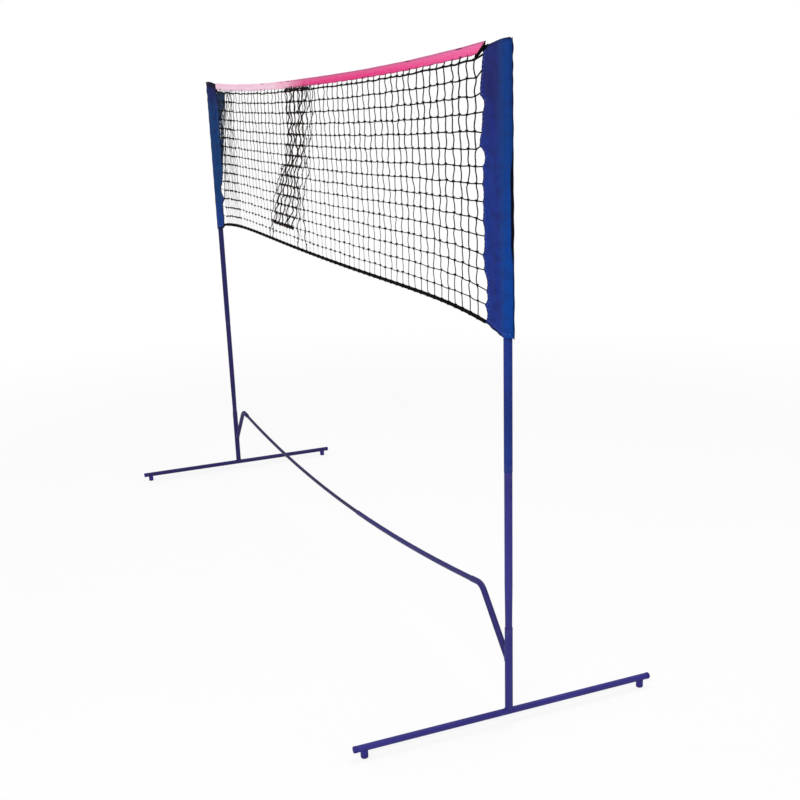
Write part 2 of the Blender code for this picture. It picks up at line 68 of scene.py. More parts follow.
BOTTOM_CORD_RADIUS = 0.0046
BOTTOM_CORD_POWER = 6
BOTTOM_CORD_SAG = 0.0177

# Sleeves, tape and bottom cord as they hang here, not quite as in the part's plainer solids
SLEEVE_BOTTOM = {"left": 1.007, "right": 0.9395}
SLEEVE_FLARE = {"left": 0.004, "right": 0.010}
SLEEVE_TOP_DROP = 0.018
SLEEVE_TOP_POWER = 2.0
LEFT_TOP = (1.5648, 1.5478)
LEFT_CORNER_KICK = 0.005
HEM_RISE = {"left": 0.022, "right": 0.0195}
HEM_POWER = 1.2
TAPE_WIDTH = 0.0225
BOTTOM_CORD_ARCH = 0.0257

# Weld beads, and the binding ribbon: it covers the turns from start to stop round the sleeve's
# outer edge, in degrees, and is tucked in further away from the heights where it shows
WELD_RADIUS = 0.0016
WELD_POINTS = 64
RIBBON_START = {"left": (40, 40), "right": (-14, 4)}
RIBBON_STOP = 72
RIBBON_TUCK = 32
RIBBON_SHOWS = (1.115, 1.31)
RIBBON_FADE = 0.03
RIBBON_STAND = 0.0008
RIBBON_TIP = 0.003
RIBBON_ROWS = 170
RIBBON_STEPS = 8
EDGING_RADIUS = 0.0017
HEM_EDGING_RADIUS = 0.0012

SIGNS = {"left": -1, "right": 1}

# The net's own lines: the tape hangs less evenly than in the part, and some netting hangs slack
TAPE_LOW = 1.5268
TAPE_RISE = {-1: (0.0275, 2.6), 1: (0.0226, 2.5)}
TAPE_ENDS = (-1.108, 1.107)
TAPE_SLANT = 0.034
TAPE_STATIONS = 260
CORD_ENDS = (-1.135, 1.095)
LAST_STRAND = 1.058
LAST_STRAND_BOW = -0.008
FIRST_STRAND = -1.073
GATHERED_FROM = -0.86
BUNCH_TOP = (-1.104, -0.992)
BUNCHES = ((20, (1.478, 1.424), 0.020), (7, (1.40, 1.13), 0.012))
NET_ROWS = 15
NET_PITCH = 0.0386
GATHERED_PITCH = 0.0165
FIRST_ROW_DROP = 0.0095
TWINE_RADIUS = 0.00122
UPRIGHT_TWINE = {"left": (1.00, 0.22), "right": (1.45, 1.10)}
CROSS_TWINE = {"left": (1.20, 0.40), "right": (1.45, 1.10)}
KNOT_SIZE = 0.0029
KNOT_STEPS = 7
KNOT_KINDS = ((0.4, 0.8), (1.3, 0.7), (2.1, 0.9))
STRIP_STRANDS = 6
STRIP_ROWS = 14
STRIP_X = -0.2
STRIP_LINE = ((1.50, -0.138), (1.46, -0.146), (1.40, -0.160), (1.30, -0.195), (1.235, -0.250), (1.15, -0.286),
              (1.07, -0.357))
STRIP_HALF = ((1.50, 0.100), (1.455, 0.078), (1.27, 0.075), (1.14, 0.092), (1.07, 0.093))

# Loose strands beside the spare strip: the side they hang at, the heights and places of the
# outermost one, and how far out towards it, as a share, each strand hangs
STRAYS = (
    (-1, ((1.270, -0.327), (1.222, -0.370), (1.188, -0.410), (1.154, -0.440), (1.102, -0.474),
          (1.024, -0.514)), (0.5, 1.0)),
    (1, ((1.506, 0.001), (1.447, 0.004), (1.378, -0.030), (1.335, -0.038), (1.290, -0.074), (1.261, -0.060),
         (1.198, -0.119), (1.151, -0.137), (1.030, -0.129)), (0.45, 1.0)),
)
STRAY_STEP = 0.012
LASHING_RADIUS = 0.0018
LASHINGS = {
    "right": ((1.058, 1.5180), (1.111, 1.5425), (-0.0030, 0.0, 0.0030)),
    "left": ((-1.100, 1.5240), (-1.112, 1.5400), (-0.0020, 0.0020)),
}

# Ropes: the steps along each, and the length of one full twist of its strands
BOTTOM_ROPE_STEPS = 900
BOTTOM_ROPE_LAY = 0.030
HEAD_ROPE_STEPS = 420
HEAD_ROPE_LAY = 0.014

# Threads, stitches and weaves, by the length of one repeat
SLEEVE_STITCH = 0.0087
WARP_ACROSS = 0.0011
WARP_UP = 0.0022
WEFT = 0.0009
TAPE_DASH = 0.0050
TAPE_HERRINGBONE = 0.0040
TAPE_RIB = 0.0016
RIBBON_RIB = 0.0013
SEAM_PUCKER = 0.0105

# Where each row of netting is tied to a sleeve: lift of the tie above the row, reach of the cloth
# beyond the seam there, and dip of the cloth's edge below it, in millimetres from the top row down
TIES = {
    "right": ((6, -3, -1), (12, 4, -1), (4, 12, 15), (3, 1, 3), (-2, 8, -5), (8, 10, 16), (2, 2, 4),
              (3, 5, 5), (2, 1, 4), (-2, 4, 6), (3, -3, 5), (-2, 4, 5), (4, 1, 9), (-4, -11, 7), (2, -5, 10)),
    "left": ((0, -15, 1), (2, -4, 2), (0, 10, 2), (3, 4, 4), (0, 0, 3), (-2, 3, 2), (2, 1, 4), (0, -4, 3),
             (2, -6, 3), (0, -8, 6), (0, -24, 12), (3, -46, 4), (0, -14, 14), (2, -38, 4), (0, -36, 3)),
}

# Folds of the sleeve's cloth: depth, and how fast it waves inward and upward, in radians per metre
SLEEVE_FOLDS = ((0.0011, 95, 9), (0.0008, 160, -15), (0.0009, 40, 31), (0.0004, -120, 83))
OUTER_WAVES = ((0.0006, 37), (0.0004, 90))
ARC_STEPS = 9
FLANK_STEPS = 15
BAND_STEPS = 3
SLEEVE_ROWS = 190
ROOF_STEPS = 4
ROOF_RADIUS = 0.0022

# The camera, from matching the object's known points with the photograph
CAMERA_PLACE = (3.3484, -1.1737, 1.396)
CAMERA_AZIMUTH = 67.1022
CAMERA_ELEVATION = 17.6384
CAMERA_ROLL = -1.9063
FOCAL_PIXELS = 1128.85
PICTURE_PIXELS = 800
SENSOR = 36.0
SHIFT_UP = 0.10


def shade(red, green, blue):
    """A colour given as it shows on a screen, 0 to 255, as Blender's linear values."""
    linear = []
    for part in (red, green, blue):
        value = part / 255
        linear.append(value / 12.92 if value <= 0.04045 else ((value + 0.055) / 1.055) ** 2.4)
    return (*linear, 1.0)


FRAME_VIOLET = shade(51, 47, 125)
FRAME_SHADOW = shade(38, 35, 98)
# Darker violets that paint shade: the deepest for the far left end of every coat and for the crossbar's
# middle and left tubes, a slighter one for the right crossbar tube and right elbow
FAR_SHADE_VIOLET = shade(34, 28, 76)
FAR_SHADE_DARKER = shade(26, 22, 60)
SHADED_VIOLET = shade(41, 36, 99)
POST_NAVY = shade(22, 46, 122)
POST_SHADOW = shade(18, 32, 92)
PLASTIC_VIOLET = shade(48, 40, 118)
SLEEVE_BLUE = shade(20, 46, 130)
SLEEVE_DEEP = shade(28, 32, 98)
# Brighter blues of the painted sheen over the post; the lower one also lightens the slubs of the weave
SLEEVE_BRIGHT = shade(0, 60, 138)
SLEEVE_SHEEN_TOP = shade(6, 54, 120)
SLEEVE_TEAL = shade(2, 57, 112)
SLEEVE_DUSK = shade(24, 34, 92)
# Painted shade in the cloth's small folds
SLEEVE_FOLD_SHADE = shade(20, 22, 70)
SLEEVE_FOOT = shade(16, 56, 132)
SLEEVE_PEAK = shade(20, 8, 40)
SLEEVE_EDGE = shade(14, 16, 54)
SLEEVE_THREAD = shade(84, 98, 168)
TAPE_PINK = shade(232, 46, 126)
TAPE_SOFT = shade(240, 120, 172)
# Pale pink of the painted highlight on the tape's left half
TAPE_HIGHLIGHT_PALE = shade(255, 219, 237)
TAPE_RIM = shade(184, 104, 142)
TAPE_DEEP = shade(196, 62, 116)
TAPE_STITCH = shade(206, 96, 150)
RIBBON_INK = shade(3, 6, 16)
RIBBON_WORN = shade(12, 20, 44)
RIBBON_NAVY = shade(12, 22, 62)
DUST = shade(150, 146, 160)
WHITE = (1.0, 1.0, 1.0, 1.0)

# Twines and rope: fresh and worn colour, and the rope's coarser fibres and deeper relief
YARNS = {
    "black_net_twine": (shade(16, 16, 19), shade(36, 35, 40)),
    "umber_spare_twine": (shade(34, 25, 24), shade(62, 51, 48)),
    "slate_bunched_twine": (shade(38, 56, 84), shade(66, 84, 108)),
    "grey_loose_twine": (shade(54, 54, 66), shade(92, 92, 108)),
    "black_laid_rope": (shade(3, 3, 5), shade(14, 13, 17), 600.0, 0.0003),
}


def maths_method(operation):
    """A method of Signal: one maths node that takes the signal and the other values."""

    def method(signal, *others):
        return signal.maths(operation, signal, *others)

    return method


class Signal:
    """One socket of a material, so that its maths can be written as Python expressions."""

    def __init__(self, finish, socket):
        self.finish = finish
        self.socket = socket

    def maths(self, operation, *values):
        return self.finish.node("ShaderNodeMath", {"operation": operation}, dict(enumerate(values)))

    def __rsub__(self, other):
        return self.maths("SUBTRACT", other, self)

    __add__ = __radd__ = maths_method("ADD")
    __sub__ = maths_method("SUBTRACT")
    __mul__ = __rmul__ = maths_method("MULTIPLY")
    __truediv__ = maths_method("DIVIDE")
    __pow__ = maths_method("POWER")
    __mod__ = maths_method("FLOORED_MODULO")
    __abs__ = maths_method("ABSOLUTE")
    wave = maths_method("SINE")
    at_least = maths_method("MAXIMUM")
    at_most = maths_method("MINIMUM")

    def rises(self, low, high):
        """0 below low, 1 above high and a soft step between them; falls when low is above high."""
        ramp = {"Value": self, "From Min": min(low, high), "From Max": max(low, high),
                "To Min": 0.0 if low < high else 1.0, "To Max": 1.0 if low < high else 0.0}
        return self.finish.node("ShaderNodeMapRange", {"interpolation_type": "SMOOTHSTEP"}, ramp)

    def near(self, value, reach, soft):
        """1 within reach of the value, fading to 0 over the soft distance."""
        return abs(self - value).rises(reach + soft, reach)


class Finish:
    """The nodes of a new material or world."""

    def __init__(self, name, kind=bpy.data.materials):
        self.owner = kind.new(name)
        self.owner.use_nodes = True
        self.tree = self.owner.node_tree
        self.tree.nodes.clear()

    def node(self, kind, settings, sockets, output=0):
        """Adds a node: its settings first, then the values or links of its sockets."""
        made = self.tree.nodes.new(kind)
        for name, value in settings.items():
            setattr(made, name, value)
        for name, value in sockets.items():
            if isinstance(value, Signal):
                self.tree.links.new(value.socket, made.inputs[name])
            else:
                made.inputs[name].default_value = value
        return Signal(self, made.outputs[output])

    def place(self):
        return self.node("ShaderNodeTexCoord", {}, {}, "Object")

    def mark(self, name):
        """A vector that the mesh carries on its points."""
        return self.node("ShaderNodeAttribute", {"attribute_name": name}, {}, "Vector")

    def parts(self, vector):
        split = self.node("ShaderNodeSeparateXYZ", {}, {"Vector": vector})
        outputs = split.socket.node.outputs
        return [Signal(self, outputs[axis]) for axis in "XYZ"]

    def stretched(self, vector, x, y, z):
        return self.node("ShaderNodeVectorMath", {"operation": "MULTIPLY"}, {0: vector, 1: (x, y, z)})

    def noise(self, vector, scale, detail=2.0, roughness=0.5):
        sockets = {"Vector": vector, "Scale": scale, "Detail": detail, "Roughness": roughness}
        return self.node("ShaderNodeTexNoise", {}, sockets, "Fac")

    def blend(self, amount, first, second):
        """The first colour where amount is 0 and the second where it is 1."""
        return self.node("ShaderNodeMix", {"data_type": "RGBA"}, {0: amount, 6: first, 7: second}, 2)

    def surface(self, colour, roughness, relief, depth, strength, gloss):
        """Ends the material: colour, roughness and relief may vary, the rest is the same all over."""
        normal = self.node("ShaderNodeBump", {}, {"Height": relief, "Distance": depth, "Strength": strength})
        sockets = {"Base Color": colour, "Roughness": roughness, "Normal": normal,
                   "Specular IOR Level": gloss}
        return self.ended(self.node("ShaderNodeBsdfPrincipled", {}, sockets, "BSDF"))

    def ended(self, shader, kind="ShaderNodeOutputMaterial"):
        output = self.tree.nodes.new(kind)
        self.tree.links.new(shader.socket, output.inputs["Surface"])
        return self.owner


def powder_coat(name, colour, shadow, rubbed_heights):
    """Baked powder paint on tube: fine orange peel, slow drift in tone, rubs where tubes are handled, and
    painted shade that darkens it towards the far left end.
    """
    finish = Finish(name)
    place = finish.place()
    along, _, height = finish.parts(place)
    drift = finish.noise(place, 7.0, 3.0)
    peel = finish.noise(place, 520.0, 2.0)
    grit = finish.noise(place, 1900.0, 1.0)
    streaks = finish.noise(finish.stretched(place, 900.0, 900.0, 60.0), 1.0, 3.0)
    handled = 0.0
    for rub in rubbed_heights:
        handled = height.near(rub, 0.006, 0.022) + handled
    rubbed = (streaks.rises(0.50, 0.72) * handled).at_most(1.0)
    dust = height.rises(0.030, 0.004) * finish.noise(place, 60.0, 4.0).rises(0.42, 0.75)
    tone = finish.blend(drift.rises(0.35, 0.7) * 0.45, colour, shadow)
    # Painted shade: every coat darkens towards the far left end
    deeper = finish.blend(along.rises(0.5, -1.1) * 0.8, tone, FAR_SHADE_VIOLET)
    worn = finish.blend(rubbed * 0.18, deeper, DUST)
    dusty = finish.blend(dust * 0.15, worn, DUST)
    roughness = 0.42 + drift * 0.10 + rubbed * 0.15 + dust * 0.20
    relief = peel * 0.8 + grit * 0.2 - rubbed * 0.4
    return finish.surface(dusty, roughness, relief, depth=0.00018, strength=0.6, gloss=0.16)


def moulded_plastic(name, colour):
    """Caps and feet: a matt spark-eroded grain, scuffed pale where they meet the floor."""
    finish = Finish(name)
    place = finish.place()
    height = finish.parts(place)[2]
    grain = finish.noise(place, 1400.0, 2.0)
    patches = finish.noise(place, 90.0, 4.0)
    scuffed = height.rises(0.005, 0.0) * patches.rises(0.35, 0.65)
    tone = finish.blend(patches.rises(0.3, 0.8) * 0.35, colour, FRAME_SHADOW)
    shown = finish.blend(scuffed * 0.25, tone, DUST)
    roughness = 0.52 + grain * 0.14 + scuffed * 0.2
    return finish.surface(shown, roughness, grain, depth=0.00012, strength=0.5, gloss=0.14)


def sleeve_cloth():
    """Woven polyester with a satin face: deep blue, with a painted sheen where it is drawn over the post and
    painted shade in its folds.
    """
    finish = Finish("royal_blue_sleeve_cloth")
    around, up, _ = finish.parts(finish.mark("cloth"))
    to_seam, to_hem, to_top = finish.parts(finish.mark("rim"))
    place = finish.place()
    along, _, height = finish.parts(place)
    at_left = along.rises(0.2, -0.2)
    clouds = finish.noise(place, 14.0, 4.0, 0.6)
    cloudy = clouds.rises(0.4, 0.7)
    slubs = finish.noise(finish.stretched(finish.mark("cloth"), 60.0, 900.0, 1.0), 1.0, 2.0)
    over_post = around.rises(0.060, 0.016)
    right_panel = finish.blend(height.rises(1.26, 1.50) * 0.75 + cloudy * 0.3, SLEEVE_BLUE, SLEEVE_DEEP)
    left_high = finish.blend(height.rises(1.43, 1.53) + cloudy * 0.2, SLEEVE_TEAL, SLEEVE_DUSK)
    left_panel = finish.blend(height.rises(1.15, 1.04), left_high, SLEEVE_FOOT)
    panel = finish.blend(at_left, right_panel, left_panel)
    # Painted sheen: a brighter blue band where the cloth is drawn over the post
    band = finish.blend(height.rises(1.05, 1.40), SLEEVE_BRIGHT, SLEEVE_SHEEN_TOP)
    sheen_painted = finish.blend(over_post * (0.85 - at_left * 0.65), panel, band)
    # Painted shade: darker blotches stand in for the shade of small wrinkles, weaker over the post
    folds = finish.noise(finish.stretched(place, 0.6, 0.6, 1.0), 48.0, 2.0).rises(0.46, 0.68)
    fold_shaded = finish.blend(folds * (0.42 - over_post * 0.22), sheen_painted, SLEEVE_FOLD_SHADE)
    body = finish.blend(at_left * to_top.rises(0.022, 0.011), fold_shaded, SLEEVE_PEAK)
    edges = to_top.rises(0.006, 0.002).at_least(to_seam.rises(0.004, 0.001))
    hem = to_hem.rises(0.005, 0.002) * around.rises(0.024, 0.034)
    edged = finish.blend(edges.at_least(hem) * 0.7, body, SLEEVE_EDGE)
    rows = to_hem.near(0.0085, 0.0009, 0.0004) + to_top.near(0.011, 0.0006, 0.0003) * 0.3
    sides = to_seam.near(0.0075, 0.0012, 0.0005)
    thread = rows * (around / SLEEVE_STITCH % 1.0).rises(0.58, 0.62)
    thread += sides * (up / SLEEVE_STITCH % 1.0).rises(0.58, 0.62)
    sewn = finish.blend(thread.at_most(1.0) * 0.65, edged, SLEEVE_THREAD)
    shown = finish.blend(slubs.rises(0.55, 0.8) * 0.12, sewn, SLEEVE_BRIGHT)
    warp = (around * (math.tau / WARP_ACROSS) + up * (math.tau / WARP_UP)).wave()
    weft = (up * (math.tau / WEFT)).wave()
    stitch_dents = (rows + sides).at_most(1.0)
    relief = warp * 0.30 + weft * 0.22 + slubs * 0.5 - stitch_dents * 2.0 + thread * 1.2
    roughness = 0.74 + clouds * 0.12 - over_post * 0.08
    return finish.surface(shown, roughness, relief, depth=0.00016, strength=0.7, gloss=0.10)


def tape_webbing():
    """Pink herringbone webbing with a stitched fold; its left half carries a pale painted highlight."""
    finish = Finish("pink_tape_webbing")
    along, across, _ = finish.parts(finish.mark("cloth"))
    _, to_edge, to_fold = finish.parts(finish.mark("rim"))
    clouds = finish.noise(finish.place(), 22.0, 4.0, 0.6)
    specks = finish.noise(finish.place(), 160.0, 2.0)
    zigzag = abs(across / TAPE_HERRINGBONE % 1.0 - 0.5) * TAPE_HERRINGBONE
    ribs = ((along + zigzag) * (math.tau / TAPE_RIB)).wave()
    # Painted highlight: the left half of the tape is washed out pale, and its rim and stitches fade there
    left_painted_highlight = (along + (clouds - 0.5) * 0.3).rises(0.02, -0.42)
    # Painted highlight: the pink is paler near the top fold, which faces the light
    high = to_fold.rises(0.015, 0.007)
    soft = 0.08 + high * 0.32 + specks.rises(0.45, 0.75) * 0.30 + along.rises(0.45, 1.05) * 0.35
    pink = finish.blend(soft.at_most(0.9), TAPE_PINK, TAPE_SOFT)
    deep = finish.blend(to_edge.rises(0.0045, 0.001) * 0.55, pink, TAPE_DEEP)
    body = finish.blend(left_painted_highlight * (0.86 + clouds * 0.14), deep, TAPE_HIGHLIGHT_PALE)
    rim = finish.blend(to_fold.rises(0.0052, 0.0034) * (0.80 - left_painted_highlight * 0.70), body, TAPE_RIM)
    line = to_fold.near(0.0075, 0.0005, 0.0004) + to_edge.near(0.0042, 0.0004, 0.0003)
    dashes = line * (along / TAPE_DASH % 1.0).rises(0.24, 0.30)
    sewn = finish.blend((line * 0.25 + dashes * 0.20) * (1 - left_painted_highlight * 0.7), rim, TAPE_STITCH)
    relief = ribs * 0.5 - line * 1.4 + dashes * 1.6 + clouds * 0.5
    roughness = 0.72 + clouds * 0.14
    return finish.surface(sewn, roughness, relief, depth=0.00022, strength=0.7, gloss=0.15)


def dull_yarn(name, fresh, worn, fibre=900.0, depth=0.00015):
    """Twine and rope: matt fibres, greyed a little along their length."""
    finish = Finish(name)
    place = finish.place()
    fibres = finish.noise(place, fibre, 3.0, 0.6)
    greyed = finish.noise(place, 11.0, 3.0)
    shown = finish.blend(greyed.rises(0.35, 0.75) * 0.5 + fibres.rises(0.5, 0.8) * 0.4, fresh, worn)
    roughness = 0.74 + fibres * 0.16
    return finish.surface(shown, roughness, fibres, depth, strength=0.8, gloss=0.05)


def black_ribbon():
    """Grosgrain binding: fine cross ribs and greyed wear, navy where it is tucked in."""
    finish = Finish("black_binding_ribbon")
    _, up, tucked = finish.parts(finish.mark("cloth"))
    ribs = (up * (math.tau / RIBBON_RIB)).wave()
    clouds = finish.noise(finish.place(), 40.0, 4.0)
    worn = clouds.rises(0.45, 0.75) * 0.5 + ribs * 0.06
    black = finish.blend(worn, RIBBON_INK, RIBBON_WORN)
    shown = finish.blend(tucked * 0.85, black, RIBBON_NAVY)
    relief = ribs * 0.6 + clouds * 0.4
    roughness = 0.74 + clouds * 0.14
    return finish.surface(shown, roughness, relief, depth=0.0002, strength=0.7, gloss=0.05)


def placed(name, data):
    """A new object with that data, in the scene."""
    made = bpy.data.objects.new(name, data)
    bpy.context.collection.objects.link(made)
    return made


class Skin:
    """The points, faces and cloth marks of one piece in the making."""

    def __init__(self):
        self.points = []
        self.faces = []
        self.marks = {}

    def point(self, place, **marks):
        self.points.append(tuple(place))
        for name, value in marks.items():
            self.marks.setdefault(name, []).append(value)
        return len(self.points) - 1

    def bridge(self, first, second, closed=True):
        count = len(first)
        for step in range(count if closed else count - 1):
            after = (step + 1) % count
            corners = (first[step], first[after], second[after], second[step])
            self.faces.append(tuple(dict.fromkeys(corners)))

    def loft(self, rings, closed=True):
        """Joins each ring of points to the next with faces."""
        for near, far in zip(rings, rings[1:]):
            self.bridge(near, far, closed)

    def tube(self, path, radius, sides, looped=False, form=None):
        """A round tube along the path, or one whose radius is form(step, turn) times the radius."""
        across = None
        rings = []
        last = len(path) - 1
        for step, place in enumerate(path):
            if looped:
                ahead = path[(step + 1) % len(path)] - path[step - 1]
            else:
                ahead = path[min(step + 1, last)] - path[max(step - 1, 0)]
            ahead = ahead.normalized()
            if across is None:
                across = ahead.orthogonal()
            across = (across - ahead * across.dot(ahead)).normalized()
            over = ahead.cross(across)
            ring = []
            for turn in circle(sides):
                reach = radius * (form(step, turn) if form else 1.0)
                ring.append(self.point(place + (across * math.cos(turn) + over * math.sin(turn)) * reach))
            rings.append(ring)
        self.loft(rings)
        if looped:
            self.bridge(rings[-1], rings[0])
        else:
            self.faces.append(tuple(reversed(rings[0])))
            self.faces.append(tuple(rings[-1]))

    def stamp(self, pattern, place, size):
        """Copies a small ready-made pattern of points and faces to a place."""
        points, faces = pattern
        base = len(self.points)
        for offset in points:
            self.points.append(tuple(place + offset * size))
        for corners in faces:
            self.faces.append(tuple(base + corner for corner in corners))

    def face_away_from(self, inside):
        """Turns every face over if, taken together, they face the inside point."""
        facing = 0.0
        for corners in self.faces:
            first, second, third = (Vector(self.points[corner]) for corner in corners[:3])
            facing += (second - first).cross(third - first).dot(first - inside)
        if facing < 0:
            self.faces = [corners[::-1] for corners in self.faces]

    def finished(self, name, material, body, slot, thickness=0.0):
        mesh = bpy.data.meshes.new(name)
        mesh.from_pydata(self.points, [], self.faces)
        mesh.validate()
        mesh.shade_smooth()
        for mark, values in self.marks.items():
            carried = mesh.attributes.new(mark, "FLOAT_VECTOR", "POINT")
            carried.data.foreach_set("vector", [part for value in values for part in value])
        mesh.materials.append(material)
        piece = placed(name, mesh)
        if thickness:
            thicken = piece.modifiers.new("cloth_thickness", "SOLIDIFY")
            thicken.thickness = thickness
            thicken.offset = -1.0
        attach(piece, body)
        return piece


def mixed(first, second, share):
    return first + (second - first) * share


def evenly(first, last, steps):
    """The values from first to last in even steps, both included."""
    return [mixed(first, last, step / steps) for step in range(steps + 1)]


def circle(count):
    """The turns of a full circle in even steps."""
    return [math.tau * step / count for step in range(count)]


def eased(share):
    share = min(1.0, max(0.0, share))
    return share * share * (3 - 2 * share)


def along_line(points, value):
    """The second number of a falling list of pairs, at the given first number."""
    for (high, first), (low, second) in zip(points, points[1:]):
        if value >= low:
            return mixed(first, second, min(1.0, (high - value) / (high - low)))
    return points[-1][1]


def tape_top(x):
    """The tape hangs lowest a little right of the middle and rises most to the left sleeve."""
    rise, power = TAPE_RISE[-1 if x < 0 else 1]
    return TAPE_LOW + rise * (abs(x) / NET_HALF) ** power


def sleeve_top(side, inward):
    """The sleeve's top line; the left sleeve's loose outer corner stands up above its post."""
    if side == "left":
        return mixed(*LEFT_TOP, (inward + SLEEVE_RADIUS) / (SLEEVE_WIDTH + SLEEVE_RADIUS))
    return TOTAL_HEIGHT - 0.001 - SLEEVE_TOP_DROP * (max(0.0, inward) / SLEEVE_WIDTH) ** SLEEVE_TOP_POWER


def sleeve_bottom(side, inward):
    return SLEEVE_BOTTOM[side] + HEM_RISE[side] * (max(0.0, inward) / SLEEVE_WIDTH) ** HEM_POWER


def bottom_cord_height(x):
    ends = {sign: sleeve_bottom(side, SLEEVE_WIDTH) for side, sign in SIGNS.items()}
    share = x / NET_HALF
    chord = mixed(ends[-1], ends[1], (share + 1) / 2)
    arch = BOTTOM_CORD_ARCH * (1 - abs(share) ** BOTTOM_CORD_POWER)
    return chord + arch - BOTTOM_CORD_SAG * (1 - share ** 2)


def row_height(x, row):
    """The height of a row of knots; row 0 is under the tape and row NET_ROWS is the bottom cord."""
    return mixed(tape_top(x) - TAPE_WIDTH - FIRST_ROW_DROP, bottom_cord_height(x), row / NET_ROWS)


def twine_share(twine, x, row):
    """How stout the twine looks: heaviest at the right, finest low down at the left."""
    across = ((x + NET_HALF) / (2 * NET_HALF)) ** 2.5 if x > -NET_HALF else 0.0
    down = row / NET_ROWS
    return mixed(mixed(*twine["left"], down), mixed(*twine["right"], down), across)


def tie_height(side, row):
    return row_height(SIGNS[side] * NET_HALF, row) + TIES[side][row][0] / 1000


def seam_reach(side, height):
    """How far inward the sleeve's sewn edge lies: drawn out at each tied row, sagging back between."""
    first_reach, last_reach = TIES[side][0][1], TIES[side][-1][1]
    ties = [(sleeve_top(side, SLEEVE_WIDTH), first_reach, 0)]
    for row, (_, reach, dip) in enumerate(TIES[side]):
        ties.append((tie_height(side, row), reach, dip))
    ties.append((sleeve_bottom(side, SLEEVE_WIDTH), last_reach, 0))
    for (high, first, dip), (low, second, _) in zip(ties, ties[1:]):
        if height >= low:
            share = min(1.0, max(0.0, (high - height) / (high - low)))
            sag = dip * math.sin(math.pi * share) ** 0.8
            return SLEEVE_WIDTH + (mixed(first, second, share) - sag) / 1000
    return SLEEVE_WIDTH + last_reach / 1000


def smooth_frame(node):
    """Rounds a carried-over tube's shading without touching its points."""
    mesh = node.data
    if "custom_normal" in mesh.attributes:
        mesh.attributes.remove(mesh.attributes["custom_normal"])
    mesh.shade_smooth()
    weld = node.modifiers.new("shared_points", "WELD")
    weld.merge_threshold = 1e-5
    split = node.modifiers.new("crisp_edges", "EDGE_SPLIT")
    split.split_angle = math.radians(35)


def paint_frame(violet, shaded_coat, far_shaded_coat, navy, plastic):
    """Gives every CAD node that stays in view its paint or plastic."""
    for name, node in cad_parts.items():
        if "upper_post" in name:
            coat = navy
        elif "cap" in name or "foot" in name:
            coat = plastic
        # Painted shade: the crossbar and the right elbow take darker copies of the violet paint
        elif name in ("crossbar_middle_tube", "left_crossbar_tube"):
            coat = far_shaded_coat
        elif name in ("right_crossbar_tube", "right_elbow"):
            coat = shaded_coat
        else:
            coat = violet
        node.data.materials.clear()
        node.data.materials.append(coat)
        smooth_frame(node)


def weld_bead(name, path, violet):
    """A rippled fillet of weld metal under the paint."""
    skin = Skin()

    def ripple(step, _):
        return 1.0 + 0.14 * math.cos(math.tau * step / 4) + 0.06 * math.sin(5 * math.tau * step / WELD_POINTS)

    skin.tube(path, WELD_RADIUS, 8, looped=True, form=ripple)
    skin.finished(name, violet, "base_frame", "frame_paint")


def weld_socket(side, violet):
    """The beads round the socket's foot and round the elbow's root."""
    sign = SIGNS[side]
    foot_path = []
    for turn in circle(WELD_POINTS):
        offset = SOCKET_RADIUS * math.cos(turn)
        crown = math.sqrt(max(0.0, BAR_RADIUS ** 2 - offset ** 2))
        height = max(BAR_AXIS_HEIGHT + crown, SOCKET_FOOT)
        foot_path.append(Vector((sign * POST_X + offset, SOCKET_RADIUS * math.sin(turn), height)))
    weld_bead(f"{side}_socket_weld", foot_path, violet)

    leg = Vector((-sign * BEND_INSET, 0.0, BRANCH_RISE)).normalized()
    upward = Vector((-leg.z, 0.0, leg.x))
    root = Vector((sign * POST_X, 0.0, ROOT_HEIGHT[side]))
    root_path = []
    for turn in circle(WELD_POINTS):
        offset = (upward * math.cos(turn) + Vector((0.0, 1.0, 0.0)) * math.sin(turn)) * ELBOW_RADIUS
        wall = math.sqrt(SOCKET_RADIUS ** 2 - offset.y ** 2)
        travel = (-sign * wall - offset.x) / leg.x
        root_path.append(root + offset + leg * travel)
    weld_bead(f"{side}_elbow_weld", root_path, violet)


def sleeve_half_section(flare, seam):
    """Half the pocket's section as (inward distance, half thickness), from its outer edge to the seam."""
    points = []
    for step in range(ARC_STEPS + 1):
        turn = math.pi / 2 * step / ARC_STEPS
        points.append((-(SLEEVE_RADIUS + flare) * math.cos(turn), SLEEVE_RADIUS * math.sin(turn)))
    flat_start = seam - SEAM_WIDTH
    for step in range(1, FLANK_STEPS + 1):
        share = step / FLANK_STEPS
        points.append((flat_start * share, mixed(SLEEVE_RADIUS, SEAM_HALF, share)))
    for step in range(1, BAND_STEPS + 1):
        points.append((flat_start + SEAM_WIDTH * step / BAND_STEPS, SEAM_HALF))
    return points


